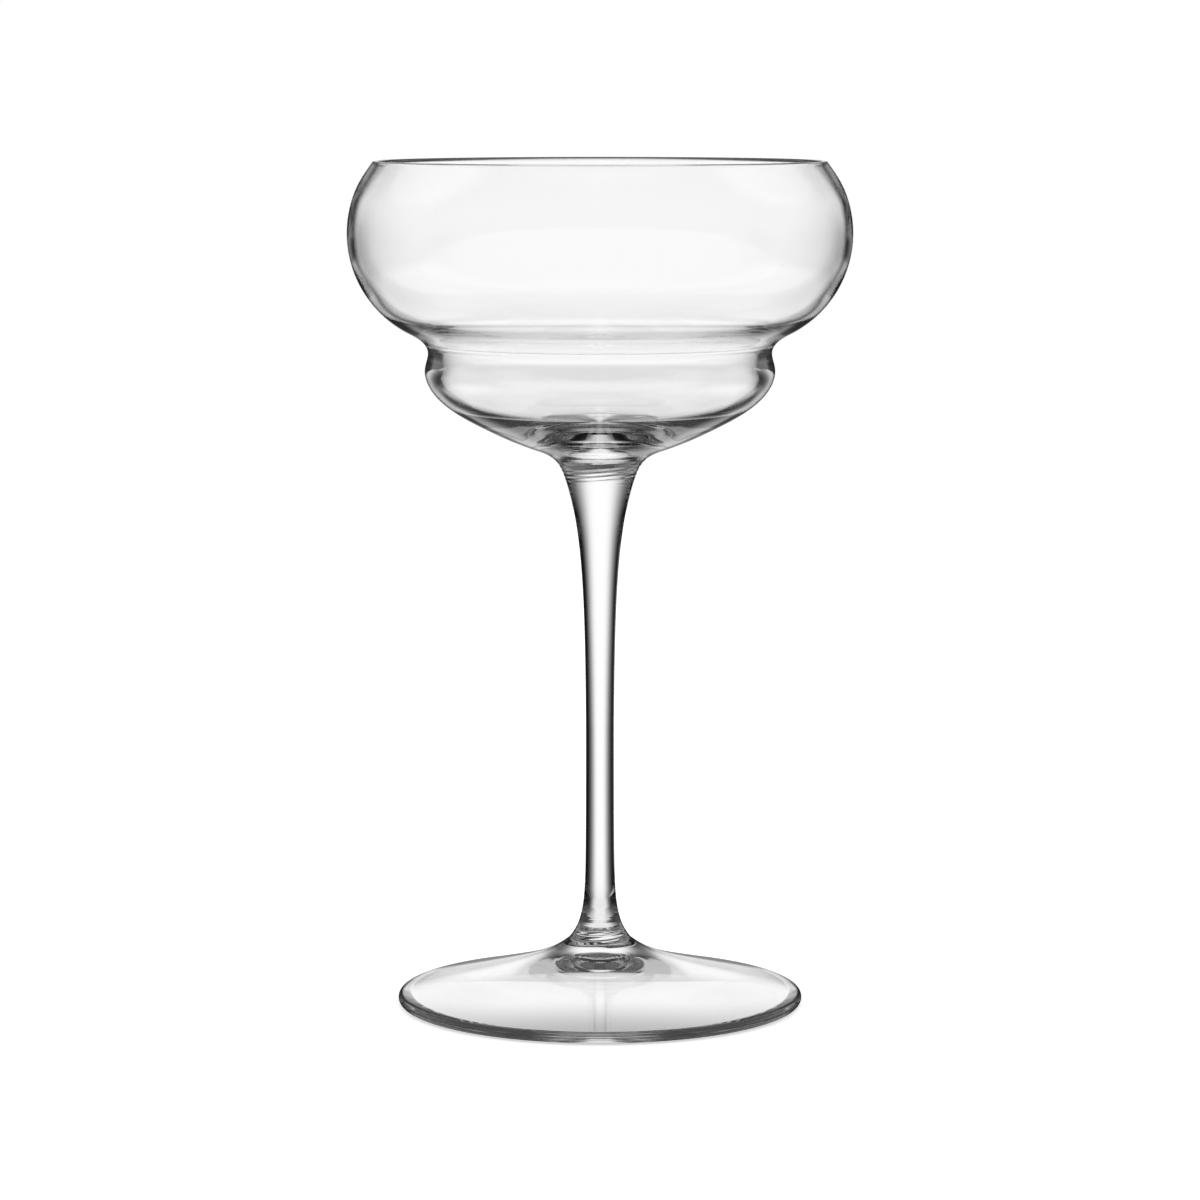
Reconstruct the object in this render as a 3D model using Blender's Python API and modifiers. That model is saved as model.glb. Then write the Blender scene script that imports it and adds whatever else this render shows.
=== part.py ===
"""Stemmed cocktail glass: a blown stepped bowl, a drawn stem and a spun foot.

The three pieces are turned shapes about the Z axis. The glass stands on the ring
under its foot at Z = 0, and its axis is the world Z axis. Lengths below are in
millimetres and are scaled to metres when a profile is made.
"""

import math

import bpy
import numpy as np

MM = 0.001

# Overall
GLASS_HEIGHT = 165.0
SEAM_GAP = 0.3

# Bowl, outside: the belly is one arc, which runs down into the waist and the cup
BELLY_RADIUS = 48.9
BELLY_HEIGHT = 151.0
BELLY_ARC = 21.5
RIM_WALL = 1.1
RIM_LEAN = math.asin((GLASS_HEIGHT - RIM_WALL / 2.0 - BELLY_HEIGHT) / (BELLY_ARC - RIM_WALL / 2.0))
WAIST_RADIUS = 33.4
WAIST_HEIGHT = 128.4
CUP_RADIUS = 33.95
CUP_HEIGHT = 125.0

# Bowl, wall thickness from the rim down to the floor of the cup
UPPER_WALL = 0.95
BELLY_WALL = 1.15
SHOULDER_WALL = 1.3
WAIST_WALL = 1.5
CUP_WALL = 2.45
CUP_FLOOR_HEIGHT = 112.8
CUP_FLOOR_RING = 12.0
CUP_FLOOR_HUMP = 0.4

# Seam between bowl and stem, and the stem's own shape
UPPER_SEAM_HEIGHT = 104.7
UPPER_SEAM_RADIUS = 7.2
STEM_RADIUS = 2.68
STEM_WAIST_HEIGHT = 55.0
STEM_TAPER = 0.0045
UPPER_FLARE_LENGTH = 12.2
LOWER_FLARE_LENGTH = 3.6

# Seam between stem and foot, and the foot
LOWER_SEAM_HEIGHT = 12.8
LOWER_SEAM_RADIUS = 6.1
FOOT_RADIUS = 39.7
FOOT_EDGE = 2.4
FOOT_SLOPE = 0.243
FOOT_FLARE_LENGTH = 4.3
REST_RING_OUTER = 38.2
REST_RING_INNER = 36.8
HOLLOW_ROUNDING = 6.0

# Facets
BOWL_STEPS = 44
STEM_STEPS = 24
FOOT_STEPS = 44


def clear_scene():
    """Remove every object that the open file starts with."""
    for leftover in list(bpy.data.objects):
        bpy.data.objects.remove(leftover, do_unlink=True)


def smooth_curve(stations, steps):
    """Natural cubic spline through (radius, height) stations, spaced evenly along its chord.

    The spline's parameter is the chord length between stations. The second derivatives
    at the stations solve the usual tridiagonal system, with none at either end.
    """
    points = np.array(stations, dtype=float)
    chord = np.hypot(*np.diff(points, axis=0).T)
    knots = np.concatenate([[0.0], np.cumsum(chord)])
    count = len(points)
    matrix = np.eye(count)
    bend = np.zeros((count, 2))
    for i in range(1, count - 1):
        before, after = chord[i - 1], chord[i]
        matrix[i, i - 1:i + 2] = before, 2.0 * (before + after), after
        rise = (points[i + 1] - points[i]) / after
        bend[i] = 6.0 * (rise - (points[i] - points[i - 1]) / before)
    bend = np.linalg.solve(matrix, bend)
    along = np.linspace(0.0, knots[-1], steps)
    span = np.clip(np.searchsorted(knots, along, side="right") - 1, 0, count - 2)
    width = chord[span]
    right = ((along - knots[span]) / width)[:, None]
    left = 1.0 - right
    width = width[:, None]
    curve = left * points[span] + right * points[span + 1]
    curve += (left ** 3 - left) * bend[span] * width ** 2 / 6.0
    curve += (right ** 3 - right) * bend[span + 1] * width ** 2 / 6.0
    return curve


def arc(centre, radius, start, end, steps):
    """Points on a circle from one angle to another, measured from the outward direction."""
    angle = np.linspace(start, end, steps)
    return np.column_stack([centre[0] + radius * np.cos(angle),
                            centre[1] + radius * np.sin(angle)])


def belly_point(angle, wall=0.0):
    """A point of the belly's arc, moved inwards by the wall's thickness."""
    reach = BELLY_ARC - wall
    return (BELLY_RADIUS - BELLY_ARC + reach * math.cos(angle),
            BELLY_HEIGHT + reach * math.sin(angle))


def bowl_outside():
    """The outside from the rim to the seam: belly arc, waist, cup, cone and flare to the stem."""
    belly = arc((BELLY_RADIUS - BELLY_ARC, BELLY_HEIGHT), BELLY_ARC,
                RIM_LEAN, math.radians(-52.0), 15)
    stations = [
        tuple(belly[-1]),
        belly_point(math.radians(-62.0)),
        (34.9, 130.5),
        (WAIST_RADIUS, WAIST_HEIGHT),
        (CUP_RADIUS, CUP_HEIGHT),
        (32.8, 120.8),
        (29.4, 117.3),
        (23.5, 113.8),
        (13.2, 109.3),
        (9.6, 107.75),
        (8.0, 106.2),
        (UPPER_SEAM_RADIUS, UPPER_SEAM_HEIGHT + SEAM_GAP / 2.0),
    ]
    return np.vstack([belly[:-1], smooth_curve(stations, 30)])


def bowl_inside():
    """The inside from the middle of the cup's floor up to the rim."""
    stations = [
        (0.0, CUP_FLOOR_HEIGHT + CUP_FLOOR_HUMP),
        (6.0, CUP_FLOOR_HEIGHT + 0.55 * CUP_FLOOR_HUMP),
        (CUP_FLOOR_RING, CUP_FLOOR_HEIGHT),
        (19.2, 115.0),
        (24.5, 117.0),
        (28.7, 119.6),
        (CUP_RADIUS - CUP_WALL, CUP_HEIGHT - 1.3),
        (WAIST_RADIUS - WAIST_WALL, WAIST_HEIGHT),
        (32.85, 130.25),
        (33.95, 131.6),
        belly_point(math.radians(-62.0), WAIST_WALL),
        belly_point(math.radians(-50.0), SHOULDER_WALL),
        belly_point(math.radians(-36.0), SHOULDER_WALL),
        belly_point(math.radians(-18.0), BELLY_WALL),
        belly_point(0.0, BELLY_WALL),
        belly_point(math.radians(20.0), UPPER_WALL),
        belly_point(RIM_LEAN, RIM_WALL),
    ]
    return smooth_curve(stations, 42)


def bowl_lip():
    """The half-round, fire-polished lip between the inside and the outside of the wall."""
    return arc(belly_point(RIM_LEAN, RIM_WALL / 2.0), RIM_WALL / 2.0,
               RIM_LEAN + math.pi, RIM_LEAN, 7)


def stem_radius(height):
    """A slim drawn rod that thickens a little downwards and flares at both seams."""
    upper = (UPPER_SEAM_RADIUS - STEM_RADIUS) * np.exp((height - UPPER_SEAM_HEIGHT) / UPPER_FLARE_LENGTH)
    taper = STEM_TAPER * np.clip(STEM_WAIST_HEIGHT - height, 0.0, None)
    lower_reach = LOWER_SEAM_RADIUS - STEM_RADIUS - STEM_TAPER * (STEM_WAIST_HEIGHT - LOWER_SEAM_HEIGHT)
    lower = lower_reach * np.exp((LOWER_SEAM_HEIGHT - height) / LOWER_FLARE_LENGTH)
    return STEM_RADIUS + upper + taper + lower


def foot_top(radius):
    """A shallow cone that rises to the stem with an easing flare."""
    cone = FOOT_EDGE + FOOT_SLOPE * (FOOT_RADIUS - FOOT_EDGE / 2.0 - radius)
    seam_cone = FOOT_EDGE + FOOT_SLOPE * (FOOT_RADIUS - FOOT_EDGE / 2.0 - LOWER_SEAM_RADIUS)
    flare = LOWER_SEAM_HEIGHT - SEAM_GAP / 2.0 - seam_cone
    return cone + flare * np.exp((LOWER_SEAM_RADIUS - radius) / FOOT_FLARE_LENGTH)


def foot_hollow(radius):
    """The hollow underside: a cone as steep as the top, rounded at its tip, over the resting ring."""
    return FOOT_SLOPE * (np.hypot(REST_RING_INNER, HOLLOW_ROUNDING) - np.hypot(radius, HOLLOW_ROUNDING))


def turned(name, profile, steps, collection, material):
    """Spin a (radius, height) profile, which runs down its outer side, about the Z axis."""
    mesh = bpy.data.meshes.new(name)
    points = [(radius * MM, 0.0, height * MM) for radius, height in profile]
    edges = [(i, i + 1) for i in range(len(points) - 1)]
    mesh.from_pydata(points, edges, [])
    piece = bpy.data.objects.new(name, mesh)
    collection.objects.link(piece)
    spin = piece.modifiers.new("spin", "SCREW")
    spin.steps = steps
    spin.render_steps = steps
    spin.use_merge_vertices = True
    spin.merge_threshold = 0.00001
    spin.use_smooth_shade = True
    piece.data.materials.append(material)
    return piece


def clear_glass(name):
    """Colourless soda-lime glass with a fire-polished surface."""
    material = bpy.data.materials.new(name)
    material.use_nodes = True
    shader = material.node_tree.nodes["Principled BSDF"]
    shader.inputs["Base Color"].default_value = (0.96, 0.97, 0.97, 1.0)
    shader.inputs["Roughness"].default_value = 0.02
    shader.inputs["Metallic"].default_value = 0.0
    shader.inputs["IOR"].default_value = 1.52
    shader.inputs["Transmission Weight"].default_value = 1.0
    return material


def build_bowl(collection):
    """Closed wall: up the inside, over the lip, down the outside, across the seam."""
    profile = np.vstack([bowl_inside(), bowl_lip()[1:-1], bowl_outside(),
                         [(0.0, UPPER_SEAM_HEIGHT + SEAM_GAP / 2.0)]])
    return turned("bowl", profile, BOWL_STEPS, collection, clear_glass("bowl_glass"))


def build_stem(collection):
    """Solid drawn rod between the two seams, with closer stations in its flares."""
    top = UPPER_SEAM_HEIGHT - SEAM_GAP / 2.0
    bottom = LOWER_SEAM_HEIGHT + SEAM_GAP / 2.0
    middle = 0.5 * (top + bottom)
    swing = np.linspace(0.0, math.pi, 30)
    heights = middle + 0.5 * (top - bottom) * np.cos(swing)
    wall = np.column_stack([stem_radius(heights), heights])
    profile = np.vstack([[(0.0, top)], wall, [(0.0, bottom)]])
    return turned("stem", profile, STEM_STEPS, collection, clear_glass("stem_glass"))


def build_foot(collection):
    """Disc with a coned top, a rounded edge, a flat resting ring and a hollow underneath."""
    edge = FOOT_EDGE / 2.0
    top_radii = LOWER_SEAM_RADIUS + (FOOT_RADIUS - edge - LOWER_SEAM_RADIUS) * np.linspace(0.0, 1.0, 16) ** 1.5
    top = np.column_stack([top_radii, foot_top(top_radii)])
    rounding = arc((FOOT_RADIUS - edge, edge), edge, math.radians(76.0), math.radians(-90.0), 9)
    hollow_radii = np.linspace(REST_RING_INNER, 0.0, 14)
    hollow = np.column_stack([hollow_radii, foot_hollow(hollow_radii)])
    profile = np.vstack([[(0.0, LOWER_SEAM_HEIGHT - SEAM_GAP / 2.0)], top[:-1], rounding,
                         [(REST_RING_OUTER, 0.0)], hollow])
    return turned("foot", profile, FOOT_STEPS, collection, clear_glass("foot_glass"))


def main():
    clear_scene()
    collection = bpy.data.collections.new("stepped_cocktail_glass")
    bpy.context.scene.collection.children.link(collection)
    build_bowl(collection)
    build_stem(collection)
    build_foot(collection)


main()
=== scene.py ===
"""Looks of the stemmed cocktail glass: clear blown, drawn and spun glass on a white table.

Each piece is one turned surface about the Z axis, worked out with numpy from a
(radius, height) profile in millimetres. The pieces meet at the two fused seams.
"""

import math
from types import SimpleNamespace

import bpy
import numpy as np
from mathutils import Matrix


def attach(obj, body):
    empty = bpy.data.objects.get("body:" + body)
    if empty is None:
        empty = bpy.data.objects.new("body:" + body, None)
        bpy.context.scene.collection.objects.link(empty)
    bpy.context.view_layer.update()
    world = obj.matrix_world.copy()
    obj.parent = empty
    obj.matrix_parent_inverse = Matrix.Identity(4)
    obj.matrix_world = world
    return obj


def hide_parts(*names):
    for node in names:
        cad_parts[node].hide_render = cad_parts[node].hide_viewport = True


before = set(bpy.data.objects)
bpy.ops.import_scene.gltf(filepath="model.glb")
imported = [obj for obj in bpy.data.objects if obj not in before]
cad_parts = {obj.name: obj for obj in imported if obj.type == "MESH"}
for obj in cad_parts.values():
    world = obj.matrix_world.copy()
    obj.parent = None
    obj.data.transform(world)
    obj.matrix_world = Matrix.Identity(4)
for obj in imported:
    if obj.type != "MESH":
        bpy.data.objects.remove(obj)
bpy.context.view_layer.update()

MM = 0.001

# Bowl, outside
GLASS_HEIGHT = 165.0
BELLY_RADIUS = 48.9
BELLY_HEIGHT = 151.0
BELLY_ARC = 21.5
RIM_WALL = 1.1
RIM_LEAN = math.asin((GLASS_HEIGHT - RIM_WALL / 2.0 - BELLY_HEIGHT) / (BELLY_ARC - RIM_WALL / 2.0))
WAIST_RADIUS = 33.4
WAIST_HEIGHT = 128.4
CUP_RADIUS = 33.95
CUP_HEIGHT = 125.0

# Bowl, wall thickness and the floor of the cup
UPPER_WALL = 0.95
BELLY_WALL = 1.15
SHOULDER_WALL = 1.3
WAIST_WALL = 1.5
CUP_WALL = 2.45
CUP_FLOOR_HEIGHT = 112.8
CUP_FLOOR_RING = 12.0
CUP_FLOOR_HUMP = 0.4

# Stem and its two seams
UPPER_SEAM_HEIGHT = 104.7
UPPER_SEAM_RADIUS = 7.2
STEM_RADIUS = 2.68
STEM_WAIST_HEIGHT = 55.0
STEM_TAPER = 0.0045
UPPER_FLARE_LENGTH = 12.2
LOWER_SEAM_HEIGHT = 12.8
LOWER_SEAM_RADIUS = 6.1
LOWER_FLARE_LENGTH = 3.6

# Foot
FOOT_RADIUS = 39.7
FOOT_EDGE = 2.4
FOOT_SLOPE = 0.243
FOOT_FLARE_LENGTH = 4.3
REST_RING_OUTER = 38.2
REST_RING_INNER = 36.8
HOLLOW_ROUNDING = 6.0

# Weld rings: middle height, reach up and down, depth and spacing of the ripples at each seam
WELD_RINGS = (
    (105.3, 1.9, 0.045, 0.85),
    (13.4, 2.1, 0.016, 0.85),
)
WELD_TILT = 0.08

# Camera, as fitted to the ellipses of the rim and the foot
CAMERA_DISTANCE = 0.8472
CAMERA_HEIGHT = 0.1801
CAMERA_PITCH = math.radians(6.763)
CAMERA_LENS = 131.1
CAMERA_SENSOR = 36.0

# Stations along each profile, and angles around each piece
INSIDE_STATIONS = 170
LIP_STATIONS = 19
OUTSIDE_STATIONS = 240
OUTSIDE_CROWD = 1.6
STEM_STATIONS = 520
FOOT_STATIONS = 180
FOOT_CROWD = 1.4
EDGE_STATIONS = 25
HOLLOW_STATIONS = 80
BOWL_ANGLES = 220
STEM_ANGLES = 128
FOOT_ANGLES = 240


def linear(code):
    """sRGB hex colour, such as F4F6F6, as linear red, green, blue and alpha."""
    values = [int(code[i:i + 2], 16) / 255.0 for i in (0, 2, 4)]
    return [v / 12.92 if v <= 0.04045 else ((v + 0.055) / 1.055) ** 2.4 for v in values] + [1.0]


def add(tree, kind, *values, inputs=None, **settings):
    """Add one node with its settings, fill or link its inputs in order or by name, return its outputs.

    A kind in capitals is an operation of the Math node. Outputs that are passed on as a
    value stand for their first socket.
    """
    made = tree.nodes.new("ShaderNodeMath" if kind.isupper() else "ShaderNode" + kind)
    if kind.isupper():
        made.operation = kind
    for name, value in settings.items():
        setattr(made, name, value)
    for slot, value in {**dict(enumerate(values)), **(inputs or {})}.items():
        if isinstance(value, bpy.types.bpy_prop_collection):
            value = value[0]
        if isinstance(value, bpy.types.NodeSocket):
            tree.links.new(value, made.inputs[slot])
        else:
            made.inputs[slot].default_value = value
    return made.outputs


def smooth_curve(stations, steps, crowd=1.0):
    """Natural cubic spline through (radius, height) stations, by chord length.

    The points crowd towards the end of the curve with the given power, 1 for even steps.
    """
    points = np.array(stations, dtype=float)
    chord = np.hypot(*np.diff(points, axis=0).T)
    knots = np.concatenate([[0.0], np.cumsum(chord)])
    inner = np.arange(1, len(points) - 1)
    matrix = np.eye(len(points))
    matrix[inner, inner - 1] = chord[:-1]
    matrix[inner, inner] = 2.0 * (chord[:-1] + chord[1:])
    matrix[inner, inner + 1] = chord[1:]
    rise = np.diff(points, axis=0) / chord[:, None]
    bend = np.zeros_like(points)
    bend[1:-1] = 6.0 * np.diff(rise, axis=0)
    bend = np.linalg.solve(matrix, bend)
    along = knots[-1] * (1.0 - np.linspace(1.0, 0.0, steps) ** crowd)
    span = np.clip(np.searchsorted(knots, along, side="right") - 1, 0, len(chord) - 1)
    width = chord[span][:, None]
    right = (along - knots[span])[:, None] / width
    left = 1.0 - right
    curve = left * points[span] + right * points[span + 1]
    curve += (left ** 3 - left) * bend[span] * width ** 2 / 6.0
    return curve + (right ** 3 - right) * bend[span + 1] * width ** 2 / 6.0


def arc(centre, radius, start, end, steps):
    """Points on a circle from one angle to another, measured from the outward direction."""
    angle = np.linspace(start, end, steps)
    return np.column_stack([centre[0] + radius * np.cos(angle), centre[1] + radius * np.sin(angle)])


def belly_point(degrees, wall=0.0):
    """A point of the belly's arc, moved inwards by the wall's thickness."""
    angle = math.radians(degrees)
    reach = BELLY_ARC - wall
    return (BELLY_RADIUS - BELLY_ARC + reach * math.cos(angle), BELLY_HEIGHT + reach * math.sin(angle))


def bowl_profile():
    """Up the inside from the floor of the cup, over the lip and down the outside to the seam."""
    lean = math.degrees(RIM_LEAN)
    inside = smooth_curve([
        (0.0, CUP_FLOOR_HEIGHT + CUP_FLOOR_HUMP),
        (6.0, CUP_FLOOR_HEIGHT + 0.55 * CUP_FLOOR_HUMP),
        (CUP_FLOOR_RING, CUP_FLOOR_HEIGHT),
        (19.2, 115.0),
        (24.5, 117.0),
        (28.7, 119.6),
        (CUP_RADIUS - CUP_WALL, CUP_HEIGHT - 1.3),
        (WAIST_RADIUS - WAIST_WALL, WAIST_HEIGHT),
        (32.85, 130.25),
        (33.95, 131.6),
        belly_point(-62.0, WAIST_WALL),
        belly_point(-50.0, SHOULDER_WALL),
        belly_point(-36.0, SHOULDER_WALL),
        belly_point(-18.0, BELLY_WALL),
        belly_point(0.0, BELLY_WALL),
        belly_point(20.0, UPPER_WALL),
        belly_point(lean, RIM_WALL),
    ], INSIDE_STATIONS)
    lip_centre = belly_point(lean, RIM_WALL / 2.0)
    lip = arc(lip_centre, RIM_WALL / 2.0, RIM_LEAN + math.pi, RIM_LEAN, LIP_STATIONS)
    outside = smooth_curve([
        belly_point(lean),
        belly_point(26.0),
        belly_point(13.0),
        belly_point(0.0),
        belly_point(-13.0),
        belly_point(-26.0),
        belly_point(-39.0),
        belly_point(-52.0),
        belly_point(-62.0),
        (34.9, 130.5),
        (WAIST_RADIUS, WAIST_HEIGHT),
        (CUP_RADIUS, CUP_HEIGHT),
        (32.8, 120.8),
        (29.4, 117.3),
        (23.5, 113.8),
        (13.2, 109.3),
        (9.6, 107.75),
        (8.0, 106.2),
        (UPPER_SEAM_RADIUS, UPPER_SEAM_HEIGHT),
    ], OUTSIDE_STATIONS, OUTSIDE_CROWD)
    return np.vstack([inside, lip[1:-1], outside, [(0.0, UPPER_SEAM_HEIGHT)]])


def stem_profile():
    """The drawn rod: an even taper with an exponential flare up to each seam."""
    swing = np.linspace(0.0, math.pi, STEM_STATIONS)
    height = 0.5 * (UPPER_SEAM_HEIGHT + LOWER_SEAM_HEIGHT)
    height = height + 0.5 * (UPPER_SEAM_HEIGHT - LOWER_SEAM_HEIGHT) * np.cos(swing)
    upper = (UPPER_SEAM_RADIUS - STEM_RADIUS) * np.exp((height - UPPER_SEAM_HEIGHT) / UPPER_FLARE_LENGTH)
    taper = STEM_TAPER * np.clip(STEM_WAIST_HEIGHT - height, 0.0, None)
    reach = LOWER_SEAM_RADIUS - STEM_RADIUS - STEM_TAPER * (STEM_WAIST_HEIGHT - LOWER_SEAM_HEIGHT)
    lower = reach * np.exp((LOWER_SEAM_HEIGHT - height) / LOWER_FLARE_LENGTH)
    wall = np.column_stack([STEM_RADIUS + upper + taper + lower, height])
    return np.vstack([[(0.0, UPPER_SEAM_HEIGHT)], wall, [(0.0, LOWER_SEAM_HEIGHT)]])


def foot_profile():
    """The spun disc: a coned top with a flare, a rounded edge, a resting ring and a hollow."""
    half = FOOT_EDGE / 2.0
    brink = FOOT_RADIUS - half
    outward = np.linspace(0.0, 1.0, FOOT_STATIONS) ** FOOT_CROWD
    radius = LOWER_SEAM_RADIUS + (brink - LOWER_SEAM_RADIUS) * outward
    flare = LOWER_SEAM_HEIGHT - FOOT_EDGE - FOOT_SLOPE * (brink - LOWER_SEAM_RADIUS)
    top = FOOT_EDGE + FOOT_SLOPE * (brink - radius)
    top = top + flare * np.exp((LOWER_SEAM_RADIUS - radius) / FOOT_FLARE_LENGTH)
    rounding = arc((brink, half), half, math.radians(76.0), math.radians(-90.0), EDGE_STATIONS)
    under = np.linspace(REST_RING_INNER, 0.0, HOLLOW_STATIONS)
    hollow = np.hypot(REST_RING_INNER, HOLLOW_ROUNDING) - np.hypot(under, HOLLOW_ROUNDING)
    hollow = FOOT_SLOPE * hollow
    return np.vstack([[(0.0, LOWER_SEAM_HEIGHT)], np.column_stack([radius, top])[:-1], rounding,
                      [(REST_RING_OUTER, 0.0)], np.column_stack([under, hollow])])


def weld_swell(across, height):
    """Radial swell of the weld rings, in millimetres, at a place across the glass and a height.

    Each seam has a sine along the height inside a soft window exp(-(h/reach)^4). The rings are
    a little higher on one side, as the pieces were not quite level when they were fused.
    """
    swell = np.zeros_like(height)
    for middle, reach, deep, spacing in WELD_RINGS:
        level = height - middle - WELD_TILT * across
        swell = swell + deep * np.exp(-(level / reach) ** 4) * np.sin(2.0 * math.pi * level / spacing)
    return swell


def turned(name, profile, around, seam_rings, materials):
    """Turn a profile about Z: x = r cos t, y = r sin t, z = h on a grid of stations by angles.

    The radius r is the profile's plus the weld swell. Stations on the axis are single points.
    Faces between the axis and a seam ring take the second material, and the seam ring is a
    sharp edge.
    """
    profile = np.asarray(profile)
    rings = np.flatnonzero(profile[:, 0] > 1e-6)
    angle = np.linspace(0.0, 2.0 * math.pi, around, endpoint=False)
    height = np.repeat(profile[rings, 1][:, None], around, axis=1)
    radius = profile[rings, 0][:, None]
    radius = radius + weld_swell(radius * np.cos(angle), height)
    grid = np.stack([radius * np.cos(angle), radius * np.sin(angle), height], axis=-1)
    corners = grid.reshape(-1, 3)
    index = np.arange(len(corners)).reshape(len(rings), around)
    after = np.roll(index, -1, axis=1)
    quads = np.stack([index[:-1], index[1:], after[1:], after[:-1]], axis=-1).reshape(-1, 4)
    top_pole = len(corners)
    bottom_pole = top_pole + 1
    corners = np.vstack([corners, [(0.0, 0.0, profile[0, 1]), (0.0, 0.0, profile[-1, 1])]]) * MM
    first = np.column_stack([np.full(around, top_pole), index[0], after[0]])
    last = np.column_stack([index[-1], np.full(around, bottom_pole), after[-1]])
    mesh = bpy.data.meshes.new(name)
    mesh.from_pydata(corners.tolist(), [], first.tolist() + quads.tolist() + last.tolist())
    slots = np.zeros(len(mesh.polygons), dtype=np.int32)
    ends = {"top": (slice(0, around), index[0]), "bottom": (slice(len(slots) - around, None), index[-1])}
    pairs = np.empty(2 * len(mesh.edges), dtype=np.int32)
    mesh.edges.foreach_get("vertices", pairs)
    pairs = pairs.reshape(-1, 2)
    sharp = np.zeros(len(mesh.edges), dtype=bool)
    for end in seam_rings:
        faces, ring = ends[end]
        slots[faces] = 1
        sharp |= np.isin(pairs, ring).all(axis=1)
    mesh.polygons.foreach_set("material_index", slots)
    mesh.polygons.foreach_set("use_smooth", np.ones(len(slots), dtype=bool))
    mesh.attributes.new("sharp_edge", "BOOLEAN", "EDGE").data.foreach_set("value", sharp)
    for material in materials:
        mesh.materials.append(material)
    mesh.update()
    piece = bpy.data.objects.new(name, mesh)
    bpy.context.scene.collection.objects.link(piece)
    return piece


# Glass: painted shade, the base colour darkens towards the outline where the surface is seen edge on
EDGE_START = 0.82
EDGE_END = 0.95
EDGE_PAINTED_SHADE = "303234"
# Blown walls are never quite even: broad waves, this far apart and this deep
WAVE_LENGTH = 0.022
WAVE_DEPTH = 0.000008
SMOOTH = {"interpolation_type": "SMOOTHSTEP"}


def clear_glass(name):
    """Fire-polished soda-lime glass: colourless, smooth, faintly wavy, with painted shade that darkens
    it where it is seen edge on.
    """
    material = bpy.data.materials.new(name)
    material.use_nodes = True
    tree = material.node_tree
    shader = tree.nodes["Principled BSDF"]
    shader.inputs["Roughness"].default_value = 0.0
    shader.inputs["IOR"].default_value = 1.52
    shader.inputs["Transmission Weight"].default_value = 1.0
    # Painted shade: Layer Weight facing darkens the base colour towards the outline, in place of dark
    # surroundings seen there
    facing = add(tree, "LayerWeight", 0.5)["Facing"]
    edge = add(tree, "MapRange", facing, EDGE_START, EDGE_END, **SMOOTH)
    painted_edge_shade = add(tree, "Mix", edge, inputs={6: linear("FFFFFF"), 7: linear(EDGE_PAINTED_SHADE)}, data_type="RGBA")
    tree.links.new(painted_edge_shade[2], shader.inputs["Base Color"])
    place = add(tree, "TexCoord")["Object"]
    waves = add(tree, "TexNoise", inputs={"Vector": place, "Scale": 1.0 / WAVE_LENGTH, "Detail": 1.0})
    bump = add(tree, "Bump", inputs={"Height": waves[0], "Strength": 1.0, "Distance": WAVE_DEPTH})
    tree.links.new(bump[0], shader.inputs["Normal"])
    return material


def fused_seam():
    """Where two gathers are fused there is no air and no surface, so light passes straight on."""
    material = bpy.data.materials.new("fused_seam")
    material.use_nodes = True
    tree = material.node_tree
    tree.nodes.remove(tree.nodes["Principled BSDF"])
    clear = add(tree, "BsdfTransparent", linear("FFFFFF"))
    tree.links.new(clear[0], tree.nodes["Material Output"].inputs["Surface"])
    return material


# Studio, with angles in degrees: a rise is measured up from the horizon, a bearing from +Y towards +X.
# Its levels, widths and limits are fitted to the photograph by trial renders.
SWEEP_LEVEL = 1.04
# Half width of the sweep low down and higher up, as the walls show it and as the solid stem does
SWEEP_HALF = (21.0, 14.0)
STEM_HALF = (18.5, 25.0)
# How sharp the edge of a lit window is, as the power in its falloff, and for the stem
EDGE_POWER = 6.0
STEM_EDGE_POWER = 4.0
# Levels of the soft light, of the room beside the cards, of guided light and of the dark cards
SOFT_LEVEL = 0.85
ROOM_LEVEL = 0.5
GUIDED_LEVEL = 0.08
DARK_LEVEL = 0.008
# Share that light guided along a wall keeps at each turn
GUIDED_SHARE = 0.88
# Panels opposite the other standpoints: bearing, lowest and highest rise
PANELS = (
    (-90.0, -10.0, 4.0),
    (135.0, -25.0, -8.0),
    (-45.0, -35.0, -20.5),
)
PANEL_HALF = 18.0
PANEL_FADE = 5.0
# Table and glowing disc under the foot, in metres, with the disc's glow at the front and behind, darker
# in front as painted shade
TABLE_RADIUS = 1.0
TABLE_HEIGHT = -0.0003
GLOW_DISC_RADIUS = 0.066
GLOW_DISC_HEIGHT = -0.0001
PAINTED_SHADE_LEVELS = (0.5, 1.0)
STAGE_CORNERS = 128
# Light is guided through many turns inside a wall
BOUNCES = 64


def falloff(tree, angle, half, edge=EDGE_POWER):
    """A soft-edged window that is 1 / (1 + (angle / half)^edge)."""
    power = add(tree, "POWER", add(tree, "DIVIDE", angle, half), edge)
    return add(tree, "DIVIDE", 1.0, add(tree, "ADD", power, 1.0))


def ray_facts(tree):
    """Where a ray of light goes, and how often it was mirrored (turns) and bent (crossed) before."""
    path = add(tree, "LightPath")
    across, depth, up = add(tree, "SeparateXYZ", add(tree, "TexCoord")["Generated"])
    bearing = add(tree, "DEGREES", add(tree, "ARCTAN2", across, depth))
    return SimpleNamespace(
        path=path,
        turns=path["Glossy Depth"],
        crossed=path["Transmission Depth"],
        rise=add(tree, "DEGREES", add(tree, "ARCSINE", up)),
        bearing=bearing,
        turn=add(tree, "ABSOLUTE", bearing),
        aside=add(tree, "DEGREES", add(tree, "ARCSINE", add(tree, "ABSOLUTE", across))),
        behind=add(tree, "MapRange", depth, -0.3, 0.05, 0.0, SWEEP_LEVEL, **SMOOTH),
    )


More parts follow.
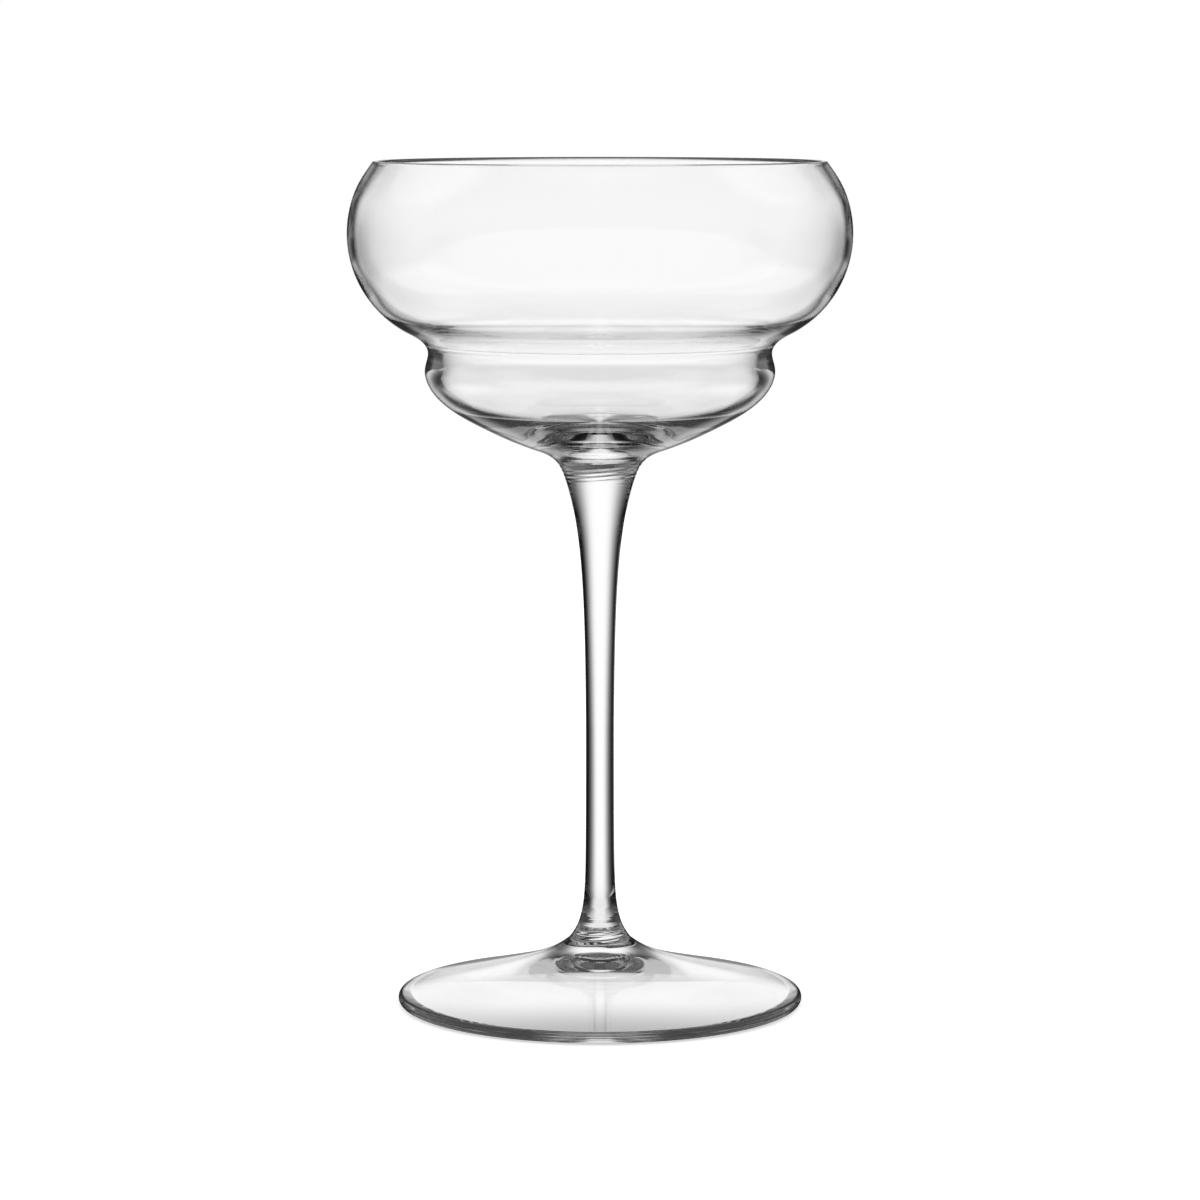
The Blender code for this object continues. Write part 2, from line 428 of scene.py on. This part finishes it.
def lit_sweep(tree, ray):
    """The white sweep behind the glass, narrower and dimmer where it runs down to the table.

    Straight through the solid stem, bent twice and never mirrored, its edge is softer.
    """
    rise = ray.rise
    lower = add(tree, "MapRange", rise, -25.0, -14.0, 0.42, 1.0, **SMOOTH)
    half = add(tree, "MapRange", rise, -7.0, -4.0, *SWEEP_HALF, **SMOOTH)
    sweep = falloff(tree, ray.aside, add(tree, "MULTIPLY", half, lower))
    half = add(tree, "MapRange", rise, -10.0, -4.0, *STEM_HALF, **SMOOTH)
    softer = falloff(tree, ray.aside, add(tree, "MULTIPLY", half, lower), STEM_EDGE_POWER)
    softer = add(tree, "MULTIPLY", softer, add(tree, "MapRange", ray.aside, 55.0, 30.0, **SMOOTH))
    straight = add(tree, "LESS_THAN", ray.turns, 0.5)
    rod = add(tree, "MULTIPLY", straight, add(tree, "COMPARE", ray.crossed, 2.0, 0.1))
    sweep = add(tree, "Mix", rod, inputs={2: sweep, 3: softer})
    sweep = add(tree, "MULTIPLY", sweep, ray.behind)
    sweep = add(tree, "MULTIPLY", sweep, add(tree, "MapRange", rise, 30.0, 44.0, 1.0, 0.1, **SMOOTH))
    return add(tree, "MULTIPLY", sweep, add(tree, "MapRange", rise, -20.0, -10.0, 0.8, 1.0, **SMOOTH))


def soft_sides(tree, ray):
    """Soft light at both sides, from a little below the horizon upwards and again low down."""
    sides = add(tree, "MapRange", ray.rise, -8.0, 12.0, **SMOOTH)
    sides = add(tree, "MAXIMUM", sides, add(tree, "MapRange", ray.rise, -14.0, -24.0, **SMOOTH))
    return add(tree, "MULTIPLY", sides, add(tree, "MapRange", ray.turn, 29.0, 36.0, **SMOOTH))


def guided_light(tree, ray):
    """What light sees that was guided along a wall: the room beside the cards, at last its even glow."""
    room = add(tree, "MapRange", ray.turn, 20.0, 45.0, 0.0, ROOM_LEVEL, **SMOOTH)
    room = add(tree, "MULTIPLY", room, add(tree, "MapRange", ray.turn, 100.0, 85.0, **SMOOTH))
    room = add(tree, "MULTIPLY", room, add(tree, "MapRange", ray.rise, -12.0, -4.0, **SMOOTH))
    room = add(tree, "MULTIPLY", room, add(tree, "MapRange", ray.rise, 30.0, 12.0, **SMOOTH))
    room = add(tree, "MULTIPLY", room, add(tree, "MapRange", ray.turns, 14.0, 9.0, **SMOOTH))
    room = add(tree, "MULTIPLY", room, add(tree, "MapRange", ray.turns, 2.5, 4.5, **SMOOTH))
    even = add(tree, "MapRange", ray.turn, 90.0, 110.0, 0.4, 1.0, **SMOOTH)
    even = add(tree, "MAXIMUM", even, add(tree, "MapRange", ray.rise, 50.0, 70.0, **SMOOTH))
    glow = add(tree, "MapRange", ray.turns, 5.0, 11.0, 0.0, GUIDED_LEVEL, **SMOOTH)
    return add(tree, "MAXIMUM", room, add(tree, "MULTIPLY", even, glow))


def standpoint_panel(tree, ray, toward, low, high):
    """A panel at one bearing, between two rises, for light that passes straight through."""
    away = add(tree, "WRAP", add(tree, "SUBTRACT", ray.bearing, toward), 180.0, -180.0)
    panel = falloff(tree, add(tree, "ABSOLUTE", away), PANEL_HALF)
    panel = add(tree, "MULTIPLY", panel, add(tree, "LESS_THAN", ray.turns, 0.5))
    foot = add(tree, "MapRange", ray.rise, low - PANEL_FADE, low, **SMOOTH)
    head = add(tree, "MapRange", ray.rise, high + PANEL_FADE, high, **SMOOTH)
    return add(tree, "MULTIPLY", add(tree, "MULTIPLY", panel, foot), head)


def light_through(tree, ray, sweep, sides):
    """What light sees that leaves the glass bent.

    It is the brightest of the sweep and the light above, less a share at each turn on the way,
    guided light, the panels and, after just one turn, the soft sides.
    """
    above = add(tree, "MapRange", ray.rise, 60.0, 72.0, 0.0, 0.35, **SMOOTH)
    later_turns = add(tree, "MAXIMUM", add(tree, "SUBTRACT", ray.turns, 1.0), 0.0)
    kept = add(tree, "POWER", GUIDED_SHARE, later_turns)
    through = add(tree, "MULTIPLY", add(tree, "MAXIMUM", sweep, above), kept)
    through = add(tree, "MAXIMUM", through, guided_light(tree, ray))
    for toward, low, high in PANELS:
        through = add(tree, "MAXIMUM", through, standpoint_panel(tree, ray, toward, low, high))
    once = add(tree, "MULTIPLY", add(tree, "COMPARE", ray.turns, 1.0, 0.1), SOFT_LEVEL)
    once = add(tree, "MULTIPLY", once, add(tree, "MapRange", ray.turn, 100.0, 80.0, 0.0, 0.6, **SMOOTH))
    return add(tree, "MAXIMUM", through, add(tree, "MULTIPLY", sides, once))


def light_mirrored(tree, ray, sweep, sides):
    """What the surface mirrors: soft light at the sides and by the camera, and the sweep ahead.

    Mirrored on the far side of a wall (further), the low sides are dark and the sweep shows.
    """
    rise = ray.rise
    further = add(tree, "GREATER_THAN", ray.crossed, 1.5)
    high = add(tree, "MapRange", rise, 12.0, 18.0, **SMOOTH)
    fresh = add(tree, "MAXIMUM", add(tree, "SUBTRACT", 1.0, further), high)
    mirrored = add(tree, "MULTIPLY", sides, fresh)
    mirrored = add(tree, "MAXIMUM", mirrored, add(tree, "MapRange", ray.turn, 95.0, 120.0, **SMOOTH))
    mirrored = add(tree, "MULTIPLY", mirrored, SOFT_LEVEL)
    half = add(tree, "MapRange", rise, 5.0, 18.0, 6.0, 16.0, **SMOOTH)
    half = add(tree, "MAXIMUM", half, add(tree, "MapRange", rise, -18.0, -26.0, 6.0, 18.0, **SMOOTH))
    ahead = add(tree, "MULTIPLY", falloff(tree, ray.aside, half), ray.behind)
    low = add(tree, "MapRange", rise, -38.0, -26.0, 0.0, 0.8, **SMOOTH)
    low = add(tree, "MULTIPLY", low, add(tree, "MapRange", rise, -14.0, -22.0, 0.35, 1.0, **SMOOTH))
    low = add(tree, "MAXIMUM", low, add(tree, "MapRange", rise, -6.0, -1.0, **SMOOTH))
    ahead = add(tree, "MULTIPLY", ahead, low)
    ahead = add(tree, "MULTIPLY", ahead, add(tree, "MapRange", rise, 12.0, 28.0, 1.0, 0.6, **SMOOTH))
    mirrored = add(tree, "MAXIMUM", mirrored, ahead)
    return add(tree, "MAXIMUM", mirrored, add(tree, "MULTIPLY", sweep, further))


def studio_light():
    """White surroundings for the camera and the table; a lit sweep and dark cards for the glass.

    This is a fitted light and not one real room. What the glass shows depends on where a ray
    goes and also on how often it was bent and mirrored on its way. Nothing follows the camera.
    """
    world = bpy.data.worlds.new("studio")
    bpy.context.scene.world = world
    world.use_nodes = True
    world.cycles.sampling_method = "NONE"
    tree = world.node_tree
    tree.nodes.clear()
    ray = ray_facts(tree)
    sweep = lit_sweep(tree, ray)
    sides = soft_sides(tree, ray)
    through = light_through(tree, ray, sweep, sides)
    mirrored = light_mirrored(tree, ray, sweep, sides)
    level = add(tree, "Mix", ray.path["Is Transmission Ray"], inputs={2: mirrored, 3: through})
    level = add(tree, "ADD", level, DARK_LEVEL)
    plain = add(tree, "MAXIMUM", ray.path["Is Camera Ray"], ray.path["Is Diffuse Ray"])
    glow = add(tree, "Background", linear("FFFFFF"), add(tree, "MAXIMUM", level, plain))
    add(tree, "OutputWorld", glow)


def stage_disc(name, radius, height):
    """A flat disc under the glass that isn't part of it, and the empty node tree of its material."""
    bpy.ops.mesh.primitive_circle_add(vertices=STAGE_CORNERS, radius=radius, fill_type="NGON",
                                      location=(0.0, 0.0, height))
    disc = bpy.context.object
    disc.name = name
    material = bpy.data.materials.new(name)
    material.use_nodes = True
    material.node_tree.nodes.clear()
    disc.data.materials.append(material)
    disc.visible_glossy = False
    return disc, material.node_tree


def white_table():
    """A matt white table top, which keeps a soft shadow and is white where nothing shades it."""
    table, tree = stage_disc("white_table", TABLE_RADIUS, TABLE_HEIGHT)
    matt = add(tree, "BsdfDiffuse", linear("E6E6E6"))
    lift = add(tree, "Emission", linear("C0C0C0"), add(tree, "LightPath")["Is Camera Ray"])
    add(tree, "OutputMaterial", add(tree, "AddShader", matt, lift))
    table.visible_transmission = False


def painted_shade_glow_disc():
    """A glowing disc beneath the foot, which the foot shows in place of the table top, with painted
    shade that makes it darker towards the front.

    Only bent light sees it. Straight through the foot it is seen all over, after one turn at most
    only near the middle, and after many turns only outside the middle of the hollow.
    """
    glow_disc, tree = stage_disc("painted_shade_glow_disc", GLOW_DISC_RADIUS, GLOW_DISC_HEIGHT)
    path = add(tree, "LightPath")
    place = add(tree, "TexCoord")["Object"]
    across, depth = add(tree, "SeparateXYZ", place)[:2]
    reach = add(tree, "VectorMath", place, operation="LENGTH")["Value"]
    # Painted shade: the glow is darker towards the front, in place of the table's shading under the foot
    level = add(tree, "MapRange", depth, -0.036, -0.004, *PAINTED_SHADE_LEVELS, **SMOOTH)
    half = add(tree, "MapRange", depth, 0.0, 0.06, 0.004, 0.019)
    middle = add(tree, "MULTIPLY", falloff(tree, add(tree, "ABSOLUTE", across), half), 0.85)
    middle = add(tree, "MULTIPLY", middle, add(tree, "LESS_THAN", path["Glossy Depth"], 1.5))
    later = add(tree, "MapRange", reach, 0.010, 0.014, 0.0, 0.55, **SMOOTH)
    later = add(tree, "MULTIPLY", later, add(tree, "GREATER_THAN", path["Glossy Depth"], 5.5))
    later = add(tree, "MAXIMUM", later, add(tree, "LESS_THAN", path["Glossy Depth"], 0.5))
    beneath = add(tree, "LESS_THAN", reach, REST_RING_OUTER * MM)
    beneath = add(tree, "MULTIPLY", beneath, add(tree, "LESS_THAN", path["Transmission Depth"], 2.5))
    seen = add(tree, "MAXIMUM", middle, add(tree, "MULTIPLY", beneath, later))
    glow = add(tree, "Emission", linear("FFFFFF"), add(tree, "MULTIPLY", level, seen))
    add(tree, "OutputMaterial", glow)
    glow_disc.visible_camera = False
    glow_disc.visible_diffuse = False
    glow_disc.visible_shadow = False


def place_camera():
    """A long lens in front of the glass, a little above its rim and tilted down."""
    data = bpy.data.cameras.new("camera")
    data.lens = CAMERA_LENS
    data.sensor_width = CAMERA_SENSOR
    camera = bpy.data.objects.new("camera", data)
    camera.location = (0.0, -CAMERA_DISTANCE, CAMERA_HEIGHT)
    camera.rotation_euler = (math.pi / 2.0 - CAMERA_PITCH, 0.0, 0.0)
    bpy.context.scene.collection.objects.link(camera)
    bpy.context.scene.camera = camera


def dress(name, profile, around, seam_rings):
    """Make one glass piece in place of its CAD node."""
    seam = bpy.data.materials.get("fused_seam") or fused_seam()
    glass = clear_glass("soda_lime_" + name)
    piece = turned(name + "_surface", profile, around, seam_rings, [glass, seam])
    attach(piece, "root")
    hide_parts(name)


dress("bowl", bowl_profile(), BOWL_ANGLES, ["bottom"])
dress("stem", stem_profile(), STEM_ANGLES, ["top", "bottom"])
dress("foot", foot_profile(), FOOT_ANGLES, ["top"])
studio_light()
white_table()
painted_shade_glow_disc()
place_camera()

scene = bpy.context.scene
scene.view_settings.view_transform = "Standard"
scene.cycles.max_bounces = BOUNCES
scene.cycles.transmission_bounces = BOUNCES
scene.cycles.glossy_bounces = BOUNCES
scene.cycles.transparent_max_bounces = BOUNCES
